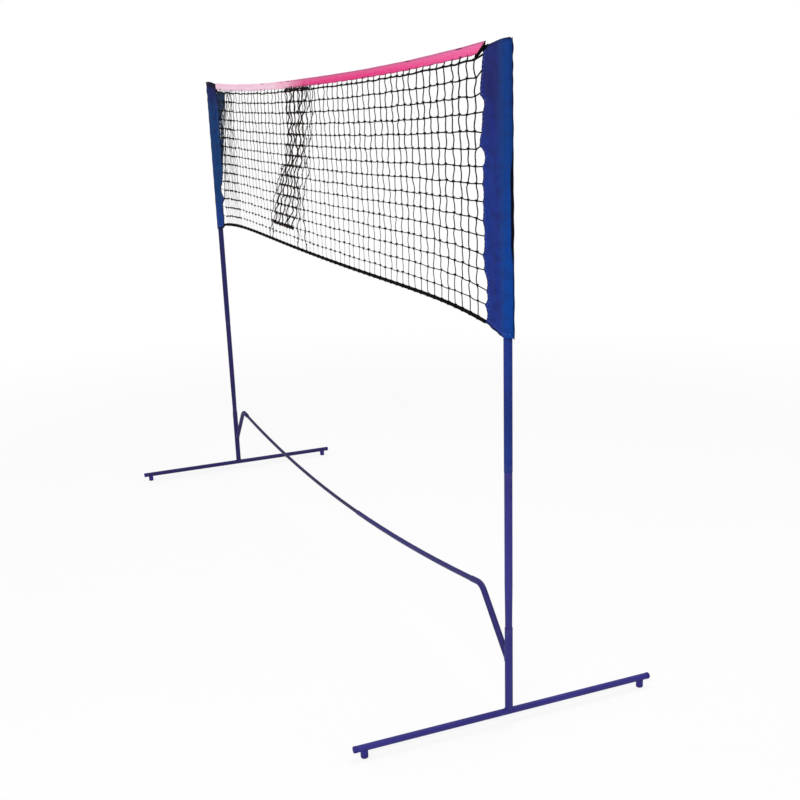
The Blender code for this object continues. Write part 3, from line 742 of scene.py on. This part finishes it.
class SleeveForm:
    """Where the cloth of one sleeve lies, with its folds."""

    def __init__(self, side):
        self.side = side
        self.sign = SIGNS[side]
        chance = random.Random(41 if side == "left" else 17)
        self.creases = []
        for row, (_, reach, _) in enumerate(TIES[side]):
            depth = 0.0008 + 0.00015 * max(0, reach) * chance.uniform(0.6, 1.1)
            self.creases.append((tie_height(side, row), chance.choice((-1, 1)) * depth,
                                 chance.uniform(-0.35, 0.25)))
        self.phases = [chance.uniform(0, math.tau) for _ in range(6)]

    def crease(self, inward, height):
        """Tension folds that start at each tie and fade out towards the post."""
        from_seam = max(0.0, SLEEVE_WIDTH - inward)
        total = 0.0
        for tie, depth, slope in self.creases:
            width = 0.0035 + from_seam * 0.16
            offset = (height - tie - slope * from_seam) / width
            if abs(offset) < 3:
                total += depth * math.exp(-offset * offset) * math.exp(-from_seam / 0.045)
        return total

    def drape(self, inward, height):
        """Long soft folds in the panel between the post and the seam."""
        soft = sum(depth * math.sin(inward * across + height * upward + phase)
                   for (depth, across, upward), phase in zip(SLEEVE_FOLDS, self.phases))
        window = eased((inward - 0.004) / 0.03) * (1 - 0.6 * eased((inward - 0.085) / 0.02))
        return soft * window

    def outward_wave(self, height):
        """The outer edge isn't ruler straight: it waves a little where the binding pulls."""
        return sum(depth * math.sin(height * upward + phase)
                   for (depth, upward), phase in zip(OUTER_WAVES, self.phases[4:]))

    def spot(self, inward, half, height, way):
        """A point of the outside of the cloth; way is -1 in front and 1 behind."""
        centre = self.crease(inward, height) + self.drape(inward, height)
        pucker = 0.00035 * math.sin(height * math.tau / SEAM_PUCKER) * eased((inward - 0.082) / 0.012)
        swell = 0.10 * math.sin(height * 26 + inward * 50 + self.phases[0]) * eased(inward / 0.05)
        kick = LEFT_CORNER_KICK * eased((height - 1.53) / 0.035) if self.side == "left" else 0.0
        outer = (self.outward_wave(height) + kick) * eased(-inward / SLEEVE_RADIUS)
        depth = centre + way * half * (1 + swell) + pucker
        return Vector((self.sign * (POST_X - inward + outer), depth, height))


def sew_sleeve(side, cloth):
    """The cloth pocket: sewn shut along its top and its seam, open at the hem."""
    form = SleeveForm(side)
    skin = Skin()

    def ring(share, lift, squeeze):
        """One section; lift and squeeze round the roof over, and no squeeze merges front and back."""
        guess = mixed(SLEEVE_BOTTOM[side] + HEM_RISE[side], sleeve_top(side, SLEEVE_WIDTH), share)
        outline = sleeve_half_section(SLEEVE_FLARE[side] * (1 - share), seam_reach(side, guess))
        front, back = [], []
        arc, previous = 0.0, outline[0]
        for column, (inward, half) in enumerate(outline):
            low = sleeve_bottom(side, inward)
            high = sleeve_top(side, inward) - ROOF_RADIUS
            height = mixed(low, high, share) + lift
            arc += math.dist((inward, half), previous)
            previous = (inward, half)
            to_seam = outline[-1][0] - inward
            to_top = high + ROOF_RADIUS - height
            marks = {"cloth": (arc, height - low, 0.0), "rim": (to_seam, height - low, to_top)}
            near = skin.point(form.spot(inward, half * squeeze, height, -1), **marks)
            front.append(near)
            if squeeze == 0.0 or column == 0:
                back.append(near)
            else:
                back.append(skin.point(form.spot(inward, half * squeeze, height, 1), **marks))
        return back[:0:-1] + front

    rings = [ring(share, 0.0, 1.0) for share in evenly(0.0, 1.0, SLEEVE_ROWS)]
    for step in range(1, ROOF_STEPS + 1):
        turn = math.pi / 2 * step / ROOF_STEPS
        squeeze = 0.0 if step == ROOF_STEPS else math.cos(turn)
        rings.append(ring(1.0, ROOF_RADIUS * math.sin(turn), squeeze))
    skin.loft(rings)
    skin.faces = [face for face in skin.faces if len(face) > 2]
    skin.face_away_from(Vector((form.sign * (POST_X - SLEEVE_RADIUS), 0.0, 1.25)))
    piece = skin.finished(f"{side}_sleeve_pocket", cloth, "net", "sleeve_cloth", CLOTH)
    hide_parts(f"{side}_sleeve")
    return piece, form


def edge_sleeve(side, form, ribbon):
    """Narrow dark edging over the top, thicker towards the net, and along both slopes of the hem."""
    skin = Skin()
    steps = 40
    top_end = seam_reach(side, sleeve_top(side, SLEEVE_WIDTH))
    top_path = [form.spot(inward, 0.0, sleeve_top(side, inward), 1)
                for inward in evenly(-SLEEVE_RADIUS, top_end, steps)]

    def swelling(step, _):
        return 0.45 + 1.15 * eased((step / steps - 0.3) / 0.7)

    skin.tube(top_path, EDGING_RADIUS, 8, form=swelling)
    outline = sleeve_half_section(SLEEVE_FLARE[side], seam_reach(side, sleeve_bottom(side, SLEEVE_WIDTH)))
    for way in (-1, 1):
        path = [form.spot(inward, half - 0.0005, sleeve_bottom(side, inward), way)
                for inward, half in outline if inward > 0.014]
        skin.tube(path, HEM_EDGING_RADIUS, 8)
    return skin.finished(f"{side}_sleeve_edging", ribbon, "net", "cord")


def ribbon_tuck(side, height):
    """0 where the ribbon is turned fully to the outside, and 1 where the right one is tucked in."""
    if side == "left":
        return 0.0
    low, high = RIBBON_SHOWS
    span = 2 * RIBBON_FADE
    return 1 - eased((height - low + RIBBON_FADE) / span) * eased((high + RIBBON_FADE - height) / span)


def bind_sleeve(side, form, ribbon):
    """The black ribbon sewn down the sleeve's outer edge, with a loose tip under the hem."""
    skin = Skin()
    sign = SIGNS[side]
    low = SLEEVE_BOTTOM[side] - RIBBON_TIP
    high = sleeve_top(side, -SLEEVE_RADIUS)
    rings = []
    for height in evenly(low, high, RIBBON_ROWS):
        share = (height - SLEEVE_BOTTOM[side]) / (TOTAL_HEIGHT - SLEEVE_BOTTOM[side])
        flare = SLEEVE_FLARE[side] * (1 - min(1.0, max(0.0, share)))
        ruffle = 0.0003 * math.sin(height * 120)
        ruffle += 0.0007 * math.sin(height * 190) * eased((height - 1.44) / 0.05)
        stand = RIBBON_STAND + ruffle
        tuck = ribbon_tuck(side, height)
        start = mixed(*RIBBON_START[side], share) + RIBBON_TUCK * tuck
        strip = []
        for degrees in evenly(start, RIBBON_STOP, RIBBON_STEPS):
            turn = math.radians(degrees)
            reach_x = (SLEEVE_RADIUS + flare + stand) * math.cos(turn)
            reach_y = (SLEEVE_RADIUS + stand) * math.sin(turn)
            place = form.spot(-reach_x, 0.0, height, 1) + Vector((0.0, sign * reach_y, 0.0))
            strip.append(skin.point(place, cloth=(0.0, height, tuck)))
        rings.append(strip)
    skin.loft(rings, closed=False)
    skin.face_away_from(Vector((sign * POST_X, 0.0, 1.25)))
    piece = skin.finished(f"{side}_binding_ribbon", ribbon, "net", "cord", 0.0008)
    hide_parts(f"{side}_sleeve_binding")
    return piece


def fold_tape(webbing):
    """The webbing folded over the head cord, with a soft waver and its right end cut on a slant."""
    skin = Skin()
    chance = random.Random(23)
    phases = [chance.uniform(0, math.tau) for _ in range(4)]
    profile = [(-TAPE_EDGE_HALF, -TAPE_WIDTH * share) for share in (1.0, 0.82, 0.64, 0.46, 0.32)]
    for step in range(9):
        turn = math.pi * step / 8
        profile.append((-FOLD_RADIUS * math.cos(turn), FOLD_RADIUS * (math.sin(turn) - 1)))
    profile += [(-y, drop) for y, drop in profile[4::-1]]
    rings = []
    for share in evenly(0.0, 1.0, TAPE_STATIONS):
        strip = []
        arc, previous = 0.0, profile[0]
        for y, drop in profile:
            arc += math.dist((y, drop), previous)
            previous = (y, drop)
            hang = -drop / TAPE_WIDTH
            x = mixed(*TAPE_ENDS, share) - TAPE_SLANT * hang * share ** 18
            waver = 0.0010 * math.sin(x * 21 + phases[0]) + 0.0007 * math.sin(x * 47 + phases[1])
            ruffle = hang * (0.0009 * math.sin(x * 130 + phases[2]) + 0.0005 * math.sin(x * 310 + phases[3]))
            height = tape_top(x) + drop + hang * 0.0006 * math.sin(x * 90 + phases[1])
            place = (x, y + waver + ruffle, height)
            marks = {"cloth": (x, arc, 0.0), "rim": (0.0, TAPE_WIDTH + drop, -drop)}
            strip.append(skin.point(place, **marks))
        rings.append(strip)
    skin.loft(rings, closed=False)
    skin.face_away_from(Vector((0.0, 0.0, TAPE_LOW - TAPE_WIDTH / 2)))
    piece = skin.finished("top_tape_webbing", webbing, "net", "tape_webbing", 0.0009)
    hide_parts("top_tape")
    return piece


def laid_rope(name, path, radius, lay, sides, yarn):
    """A rope of three twisted strands along the path."""
    skin = Skin()
    travelled = [0.0]
    for near, far in zip(path, path[1:]):
        travelled.append(travelled[-1] + (far - near).length)

    def lobes(step, turn):
        twist = math.tau * travelled[step] / lay
        return 0.84 + 0.16 * abs(math.cos(1.5 * (turn - twist)))

    skin.tube(path, radius, sides, form=lobes)
    return skin.finished(name, yarn, "net", "cord")


def run_cords(yarn):
    """The head cord in the tape's fold and the heavy cord along the netting's foot."""
    foot_path = [Vector((x, 0.0, bottom_cord_height(x))) for x in evenly(*CORD_ENDS, BOTTOM_ROPE_STEPS)]
    foot = laid_rope("bottom_rope", foot_path, BOTTOM_CORD_RADIUS * 1.03, BOTTOM_ROPE_LAY, 12, yarn)
    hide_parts("bottom_cord")
    head_ends = (TAPE_ENDS[0], NET_HALF + 0.004)
    head_path = [Vector((x, 0.0, tape_top(x) - FOLD_RADIUS)) for x in evenly(*head_ends, HEAD_ROPE_STEPS)]
    head = laid_rope("head_rope", head_path, HEAD_CORD_RADIUS, HEAD_ROPE_LAY, 9, yarn)
    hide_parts("head_cord")


def knot_pattern(start, depth):
    """A small overhand knot of twine about its own centre, one unit in size."""
    path = []
    for turn in circle(KNOT_STEPS):
        turn += start
        x = (math.sin(turn) + 2 * math.sin(2 * turn)) / 3
        z = (math.cos(turn) - 2 * math.cos(2 * turn)) / 3
        path.append(Vector((x, -depth * math.sin(3 * turn), z)))
    skin = Skin()
    skin.tube(path, 0.52, 4, looped=True)
    return [Vector(point) for point in skin.points], skin.faces


class Twine(Skin):
    """Netting in the making, with its own chance and its own kinds of knot."""

    def __init__(self, seed, kinds=2):
        super().__init__()
        self.chance = random.Random(seed)
        self.knots = [knot_pattern(*kind) for kind in KNOT_KINDS[:kinds]]

    def stray(self, reach):
        """A chance offset of up to that reach, either way."""
        return self.chance.uniform(-reach, reach)

    def knot(self, place, size):
        self.stamp(self.chance.choice(self.knots), place, size)

    def hung(self, name, yarn):
        return self.finished(name, yarn, "net", "net_twine")


def strand_columns():
    """Where the upright twines hang: evenly from the right, then bunched towards the left sleeve."""
    columns = [LAST_STRAND]
    while columns[-1] > GATHERED_FROM:
        columns.append(columns[-1] - NET_PITCH)
    while columns[-1] > FIRST_STRAND:
        columns.append(columns[-1] - GATHERED_PITCH)
    return columns[::-1]


def bowed(start, stop, bow, twist, depth, pieces):
    """The points after start, with stop: bow swings slack twine to one side, twist to both in turn."""
    points = []
    for step in range(1, pieces):
        share = step / pieces
        swell = math.sin(math.pi * share)
        sway = bow * swell + twist * math.sin(math.tau * share)
        points.append(start.lerp(stop, share) + Vector((sway, depth * swell, 0.0)))
    return points + [stop]


def knot_mesh(net, columns):
    """Ties the knots where the twines cross, and returns their places by column and row."""
    mesh = []
    for x in columns:
        stray = 0.0034 if x > GATHERED_FROM else 0.0065
        mesh.append([])
        for row in range(NET_ROWS):
            billow = 0.0035 * math.sin(x * 2.6 + 0.5) * math.sin(math.pi * row / NET_ROWS)
            place = Vector((x + net.stray(stray), billow + net.stray(0.001),
                            row_height(x, row) + net.stray(0.0014)))
            mesh[-1].append(place)
            net.stamp(net.chance.choice(net.knots), place, KNOT_SIZE * net.chance.uniform(0.9, 1.15))
    return mesh


def hang_upright(net, x, knots):
    """One upright twine, from the tape through its knots to a loop round the bottom cord."""
    lean = 0.006 + net.stray(0.003)
    path = [Vector((x + lean, 0.0, tape_top(x) - TAPE_WIDTH + 0.004))]
    shares = [twine_share(UPRIGHT_TWINE, x, 0)]
    for row, knot in enumerate(knots):
        stretch = [knot]
        if row:
            slack = mixed(1.0, 0.5, row / NET_ROWS) * (1.0 if x > GATHERED_FROM else 1.5)
            bow = net.chance.choice((-1, 1)) * net.chance.uniform(0.0015, 0.0055) * slack
            if x == LAST_STRAND and row == 1:
                bow = LAST_STRAND_BOW
            twist = net.stray(0.0040) * slack
            stretch = bowed(path[-1], knot, bow, twist, net.stray(0.0012), 4)
        path += stretch
        shares += [twine_share(UPRIGHT_TWINE, x, row)] * len(stretch)
    foot = Vector((x + net.stray(0.002), 0.0, bottom_cord_height(x)))
    stretch = bowed(path[-1], foot, net.stray(0.002), 0.0, 0.0, 3)
    path += stretch
    shares += [twine_share(UPRIGHT_TWINE, x, NET_ROWS)] * len(stretch)
    net.tube(path, TWINE_RADIUS * 0.95, 4, form=lambda step, _: shares[step])
    reach = BOTTOM_CORD_RADIUS + TWINE_RADIUS * 0.2
    loop = [foot + Vector((0.0006 * math.sin(turn * 2), reach * math.cos(turn), reach * math.sin(turn)))
            for turn in circle(10)]
    net.tube(loop, TWINE_RADIUS * 0.9, 4, looped=True)


def run_cross(net, row, knots):
    """One cross twine through its row of knots, knotted to both sleeves."""
    ends = {}
    for side, sign in SIGNS.items():
        height = tie_height(side, row)
        ends[side] = Vector((sign * (POST_X - seam_reach(side, height)), 0.0, height))
        net.knot(ends[side], KNOT_SIZE * 0.6)
    path = [ends["left"]]
    for knot in knots:
        path += bowed(path[-1], knot, 0.0, 0.0, net.stray(0.0008), 2)
        path[-2].z += net.stray(0.0012) - 0.0004
    path.append(ends["right"])
    stout = 1.35 if row == 0 else 1.0
    shares = [stout * twine_share(CROSS_TWINE, place.x, row) for place in path]
    net.tube(path, TWINE_RADIUS, 5, form=lambda step, _: shares[step])


def knot_netting(yarn):
    """The square mesh: upright and cross twines knotted where they meet, tied to both sleeves."""
    net = Twine(7, kinds=3)
    columns = strand_columns()
    mesh = knot_mesh(net, columns)
    for x, knots in zip(columns, mesh):
        hang_upright(net, x, knots)
    for row, knots in enumerate(zip(*mesh)):
        run_cross(net, row, knots)
    piece = net.hung("knotted_netting", yarn)
    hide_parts("netting")


def bunch_corner(yarn):
    """Slack netting drawn up under the tape's left end: strands that fan down to the left sleeve."""
    net = Twine(53)
    for strands, feet, reach in BUNCHES:
        for share in evenly(0.0, 1.0, strands - 1):
            x = mixed(*BUNCH_TOP, share)
            start = Vector((x, net.stray(0.003), row_height(x, 0) + net.stray(0.002)))
            height = mixed(*feet, share)
            foot = Vector((seam_reach("left", height) - POST_X + 0.004, net.stray(0.003), height))
            bow = reach * share + net.stray(0.003)
            path = [start] + bowed(start, foot, bow, net.stray(0.003), 0.0, 10)
            net.tube(path, TWINE_RADIUS * 1.2, 5)
    net.hung("left_corner_bunched_netting", yarn)


def strip_edge(height, way):
    """The spare strip's left or right edge at a height."""
    return along_line(STRIP_LINE, height) + way * along_line(STRIP_HALF, height)


def strip_strands(net, radius):
    """The slack upright strands of the spare strip, which swing to one side or the other at each row."""
    strands = []
    for share in evenly(0.0, 1.0, STRIP_STRANDS - 1):
        strands.append([])
        for row in range(STRIP_ROWS):
            level = row_height(STRIP_X, row)
            x = mixed(strip_edge(level, -1), strip_edge(level, 1), share) + net.stray(0.006)
            place = Vector((x, net.chance.uniform(-0.0052, -0.0030), row_height(x, row) + net.stray(0.0018)))
            strands[-1].append(place)
            net.knot(place, KNOT_SIZE * 1.5)
    for first, *others in strands:
        path = [Vector((first.x + 0.004, 0.0, first.z + FIRST_ROW_DROP + 0.003)), first]
        for row, knot in enumerate(others, 1):
            way = net.chance.choice((1, 1, -1) if row % 4 else (1, -1, -1))
            bow = way * net.chance.uniform(0.007, 0.015)
            path += bowed(path[-1], knot, bow, net.stray(0.005), net.stray(0.001), 5)
        net.tube(path, radius, 5)


def strip_row(net, row, radius, lift=0.0, waver=0.0):
    """A bold cross twine over the whole width of the spare strip."""
    level = row_height(STRIP_X, row)
    low, high = strip_edge(level, -1) - 0.010, strip_edge(level, 1) + 0.014
    path = []
    for step, x in enumerate(evenly(low, high, 24)):
        height = row_height(x, row) + lift + waver * math.sin(step * 2.1) + net.stray(0.0012)
        path.append(Vector((x, -0.004, height)))
    net.tube(path, radius, 6)


def gather_strip(yarn):
    """The doubled fold of spare netting that shows as a dark band left of the middle."""
    net = Twine(31)
    bold = TWINE_RADIUS * 1.6
    strip_strands(net, bold)
    for row in range(STRIP_ROWS):
        strip_row(net, row, bold * 0.85)
    strip_row(net, 0, bold * 1.5, lift=FIRST_ROW_DROP * 0.55, waver=0.002)
    strip_row(net, STRIP_ROWS - 1, bold * 1.6, lift=-0.004, waver=0.0022)
    net.hung("netting_spare_fold", yarn)


def loose_strands(yarn):
    """Loose strands at both sides of the spare fold, which hang down to the bottom cord."""
    net = Twine(61)
    for way, line, shares in STRAYS:
        top = line[0][0]
        bottom = bottom_cord_height(line[-1][1])
        steps = round((top - bottom) / STRAY_STEP)
        for share in shares:
            path = []
            for step, height in enumerate(evenly(top, bottom, steps)):
                swing = 0.009 * math.sin(step * 1.3 + share * 5.0) + net.stray(0.003)
                x = mixed(strip_edge(height, way), along_line(line, height), share) + swing
                path.append(Vector((x, -0.003, height)))
                if step % 3 == 1:
                    net.knot(path[-1], KNOT_SIZE * 0.9)
            net.tube(path, TWINE_RADIUS * 1.1, 5)
    net.hung("netting_loose_strands", yarn)


def lash_corners(yarn):
    """Short lashings that tie the netting's top corners up to the sleeves."""
    for side, (low_end, high_end, offsets) in LASHINGS.items():
        skin = Skin()
        low = Vector((low_end[0], 0.0, low_end[1]))
        high = Vector((high_end[0], 0.0, high_end[1]))
        along = (high - low).normalized()
        across = Vector((-along.z, 0.0, along.x))
        for place, offset in enumerate(offsets):
            apart = across * offset * 0.55 + Vector((0.0, 0.0030 if place % 2 else -0.0030, 0.0))
            bend = [low] + bowed(low, high, SIGNS[side] * -0.002, 0.001, 0.0, 7)
            path = [point + apart * ((step + 2) / 8) for step, point in enumerate(bend)]
            skin.tube(path, LASHING_RADIUS, 7)
        skin.finished(f"{side}_corner_lashing", yarn, "net", "cord")


def place_camera():
    azimuth = math.radians(CAMERA_AZIMUTH)
    elevation = math.radians(CAMERA_ELEVATION)
    roll = math.radians(CAMERA_ROLL)
    back = Vector((math.sin(azimuth) * math.cos(elevation), -math.cos(azimuth) * math.cos(elevation),
                   math.sin(elevation)))
    level = Vector((math.cos(azimuth), math.sin(azimuth), 0.0))
    upright = back.cross(level)
    right = level * math.cos(roll) + upright * math.sin(roll)
    up = upright * math.cos(roll) - level * math.sin(roll)
    data = bpy.data.cameras.new("photo_camera")
    data.sensor_width = SENSOR
    data.lens = FOCAL_PIXELS / PICTURE_PIXELS * SENSOR
    data.shift_y = SHIFT_UP
    camera = placed("photo_camera", data)
    turned = Matrix((right, up, back)).transposed().to_4x4()
    camera.matrix_world = Matrix.Translation(CAMERA_PLACE) @ turned
    bpy.context.scene.camera = camera


def softbox(name, place, target, size, power):
    data = bpy.data.lights.new(name, "AREA")
    data.shape = "SQUARE"
    data.size = size
    data.energy = power
    lamp = placed(name, data)
    lamp.location = place
    lamp.rotation_euler = (Vector(place) - Vector(target)).to_track_quat("Z", "Y").to_euler()


def light_studio():
    """Soft boxes over a white floor; the background is white to the camera and to transmission rays."""
    softbox("key_softbox", (4.2, -2.6, 3.4), (0.3, 0.0, 0.8), 2.6, 160)
    softbox("fill_softbox", (-3.6, -3.4, 2.8), (0.0, 0.0, 0.8), 3.0, 60)
    softbox("top_softbox", (0.0, 1.5, 4.2), (0.0, 0.0, 0.5), 3.2, 85)
    room = Finish("white_room", bpy.data.worlds)
    seen = room.node("ShaderNodeLightPath", {}, {}, "Is Camera Ray")
    clear = room.node("ShaderNodeLightPath", {}, {}, "Is Transmission Ray")
    dim = room.node("ShaderNodeBackground", {}, {"Color": WHITE, "Strength": 0.42}, "Background")
    bright = room.node("ShaderNodeBackground", {}, {"Color": WHITE, "Strength": 1.0}, "Background")
    choice = room.node("ShaderNodeMixShader", {}, {0: seen.at_least(clear), 1: dim, 2: bright}, "Shader")
    bpy.context.scene.world = room.ended(choice, "ShaderNodeOutputWorld")


def lay_floor():
    """A large pale floor that keeps a faint shadow near the net and fades to white further out."""
    finish = Finish("pale_studio_floor")
    x, y, _ = finish.parts(finish.place())
    distance = (x * x + y * y) ** 0.5
    rays = finish.node("ShaderNodeLightPath", {}, {}, "Is Camera Ray")
    grain = finish.noise(finish.place(), 3.0, 3.0)
    tone = finish.blend(grain, (0.84, 0.84, 0.84, 1.0), (0.86, 0.86, 0.86, 1.0))
    matt = finish.node("ShaderNodeBsdfDiffuse", {}, {"Color": tone}, "BSDF")
    white = finish.node("ShaderNodeEmission", {}, {"Color": WHITE, "Strength": 1.0}, "Emission")
    amount = rays * (0.80 + distance.rises(1.8, 4.5) * 0.20)
    paint = finish.ended(finish.node("ShaderNodeMixShader", {}, {0: amount, 1: matt, 2: white}, "Shader"))
    half = 30.0
    corners = [(-half, -half, 0), (half, -half, 0), (half, half, 0), (-half, half, 0)]
    mesh = bpy.data.meshes.new("studio_floor")
    mesh.from_pydata(corners, [], [(0, 1, 2, 3)])
    mesh.materials.append(paint)
    floor = placed("studio_floor", mesh)


def main():
    place_camera()
    light_studio()
    lay_floor()
    violet = powder_coat("violet_powder_coat", FRAME_VIOLET, FRAME_SHADOW, (SOCKET_TOP, JOINT_HEIGHT))
    # Two darker copies of the violet coat paint shade on the crossbar and the right elbow
    shaded_coat = powder_coat("shaded_violet_powder_coat", SHADED_VIOLET, FRAME_SHADOW, (ROOT_HEIGHT["right"],))
    far_shaded_coat = powder_coat("far_shaded_violet_powder_coat", FAR_SHADE_VIOLET, FAR_SHADE_DARKER, (ROOT_HEIGHT["left"],))
    navy = powder_coat("navy_powder_coat", POST_NAVY, POST_SHADOW, (JOINT_HEIGHT,))
    plastic = moulded_plastic("violet_moulded_plastic", PLASTIC_VIOLET)
    cloth = sleeve_cloth()
    webbing = tape_webbing()
    twine, spare, slate, loose, rope = (dull_yarn(name, *look) for name, look in YARNS.items())
    ribbon = black_ribbon()
    paint_frame(violet, shaded_coat, far_shaded_coat, navy, plastic)
    for side in SIGNS:
        weld_socket(side, violet)
        pocket, form = sew_sleeve(side, cloth)
        edging = edge_sleeve(side, form, ribbon)
        binding = bind_sleeve(side, form, ribbon)
    tape = fold_tape(webbing)
    run_cords(rope)
    knot_netting(twine)
    bunch_corner(slate)
    gather_strip(spare)
    loose_strands(loose)
    lash_corners(rope)
    bpy.context.scene.view_settings.view_transform = "Standard"


main()
